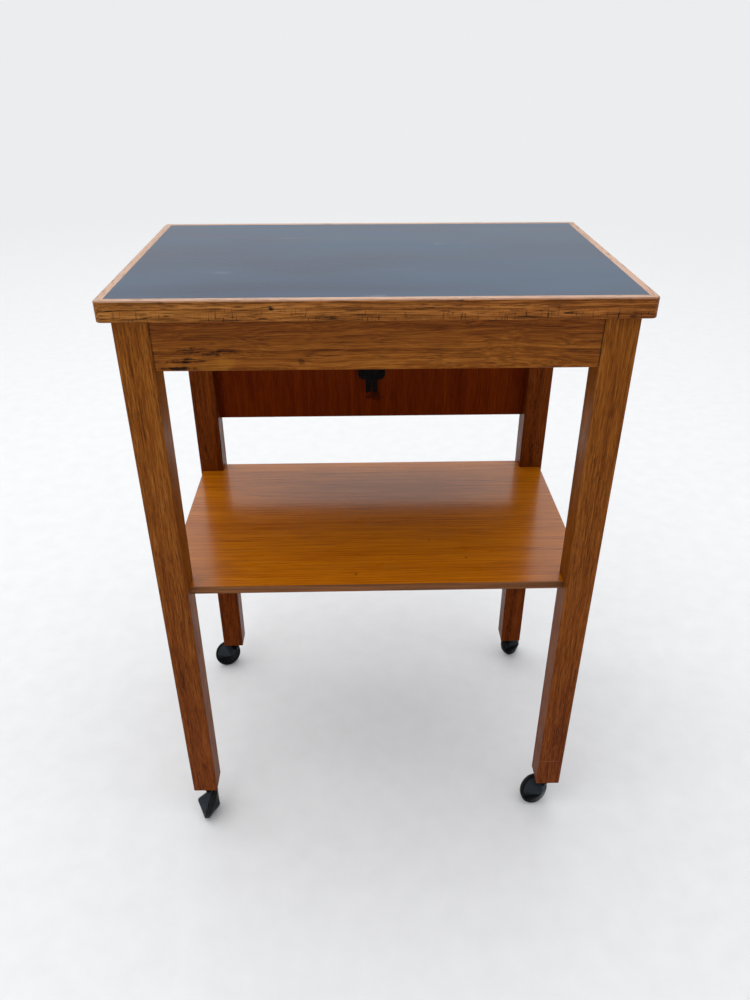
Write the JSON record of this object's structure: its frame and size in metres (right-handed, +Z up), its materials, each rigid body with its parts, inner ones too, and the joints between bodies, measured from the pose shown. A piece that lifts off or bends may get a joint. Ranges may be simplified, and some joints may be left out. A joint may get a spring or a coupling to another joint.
{
  "type": "typewriter table",
  "caption": "Small wooden typewriter table with a linoleum top edged in oak, tapered legs, a lower shelf, a modesty panel at the back and swivelling ball castors.",
  "frame": {"origin": "on the floor, straight below the middle of the top", "axes": "+X to the right as seen from the front, +Y to the rear, where the modesty panel is, +Z up"},
  "size_m": [0.4996, 0.3364, 0.682],
  "materials": {
    "lino": "satin",
    "oak_lipping": "satin",
    "core_board": "matte",
    "leg_wood": "gloss",
    "apron_wood": "gloss",
    "panel_ply": "satin",
    "shelf_ply": "gloss",
    "block_wood": "matte",
    "dowel_wood": "matte",
    "screw_steel": "satin",
    "clip_black": "satin",
    "castor_black": "gloss",
    "castor_steel": "satin",
    "tyre_rubber": "matte"
  },
  "bodies": {
    "table": {"top_board": "core_board", "lino_inlay": "lino", "front_lipping": "oak_lipping", "rear_lipping": "oak_lipping", "left_lipping": "oak_lipping", "right_lipping": "oak_lipping", "front_left_leg": "leg_wood", "front_right_leg": "leg_wood", "rear_left_leg": "leg_wood", "rear_right_leg": "leg_wood", "front_apron": "apron_wood", "left_apron": "apron_wood", "right_apron": "apron_wood", "front_apron_dowels": "dowel_wood", "left_apron_dowels": "dowel_wood", "right_apron_dowels": "dowel_wood", "rear_panel": "panel_ply", "shelf": "shelf_ply", "front_left_corner_block": "block_wood", "front_right_corner_block": "block_wood", "rear_left_corner_block": "block_wood", "rear_right_corner_block": "block_wood", "top_screws": "screw_steel", "clip_plate": "clip_black", "clip_prongs": "clip_black", "clip_screws": "clip_black", "front_left_castor_sleeve": "castor_steel", "front_right_castor_sleeve": "castor_steel", "rear_left_castor_sleeve": "castor_steel", "rear_right_castor_sleeve": "castor_steel"},
    "front_left_castor_fork": {"front_left_castor_stem": "castor_steel", "front_left_castor_hood": "castor_black", "front_left_castor_axle": "castor_steel"},
    "front_left_castor_roller": {"front_left_castor_wheel": "castor_black", "front_left_castor_tyre": "tyre_rubber"},
    "front_right_castor_fork": {"front_right_castor_stem": "castor_steel", "front_right_castor_hood": "castor_black", "front_right_castor_axle": "castor_steel"},
    "front_right_castor_roller": {"front_right_castor_wheel": "castor_black", "front_right_castor_tyre": "tyre_rubber"},
    "rear_left_castor_fork": {"rear_left_castor_stem": "castor_steel", "rear_left_castor_hood": "castor_black", "rear_left_castor_axle": "castor_steel"},
    "rear_left_castor_roller": {"rear_left_castor_wheel": "castor_black", "rear_left_castor_tyre": "tyre_rubber"},
    "rear_right_castor_fork": {"rear_right_castor_stem": "castor_steel", "rear_right_castor_hood": "castor_black", "rear_right_castor_axle": "castor_steel"},
    "rear_right_castor_roller": {"rear_right_castor_wheel": "castor_black", "rear_right_castor_tyre": "tyre_rubber"}
  },
  "joints": [
    {"name": "front_left_castor_swivel", "type": "hinge", "parent": "table", "child": "front_left_castor_fork", "pos_m": [-0.2207, -0.1382, 0.044], "axis": [0, 0, 1], "continuous": true},
    {"name": "front_left_castor_roll", "type": "hinge", "parent": "front_left_castor_fork", "child": "front_left_castor_roller", "pos_m": [-0.22018, -0.15064, 0.01992], "axis": [0.9422, -0.0444, -0.3322], "continuous": true},
    {"name": "front_right_castor_swivel", "type": "hinge", "parent": "table", "child": "front_right_castor_fork", "pos_m": [0.2207, -0.1382, 0.044], "axis": [0, 0, 1], "continuous": true},
    {"name": "front_right_castor_roll", "type": "hinge", "parent": "front_right_castor_fork", "child": "front_right_castor_roller", "pos_m": [0.20881, -0.14189, 0.01992], "axis": [-0.3579, 0.8727, -0.3322], "continuous": true},
    {"name": "rear_left_castor_swivel", "type": "hinge", "parent": "table", "child": "rear_left_castor_fork", "pos_m": [-0.2207, 0.1382, 0.044], "axis": [0, 0, 1], "continuous": true},
    {"name": "rear_left_castor_roll", "type": "hinge", "parent": "rear_left_castor_fork", "child": "rear_left_castor_roller", "pos_m": [-0.2323, 0.13367, 0.01992], "axis": [-0.4194, 0.8449, -0.3322], "continuous": true},
    {"name": "rear_right_castor_swivel", "type": "hinge", "parent": "table", "child": "rear_right_castor_fork", "pos_m": [0.2207, 0.1382, 0.044], "axis": [0, 0, 1], "continuous": true},
    {"name": "rear_right_castor_roll", "type": "hinge", "parent": "rear_right_castor_fork", "child": "rear_right_castor_roller", "pos_m": [0.22915, 0.14734, 0.01992], "axis": [-0.6336, 0.6987, -0.3322], "continuous": true}
  ]
}
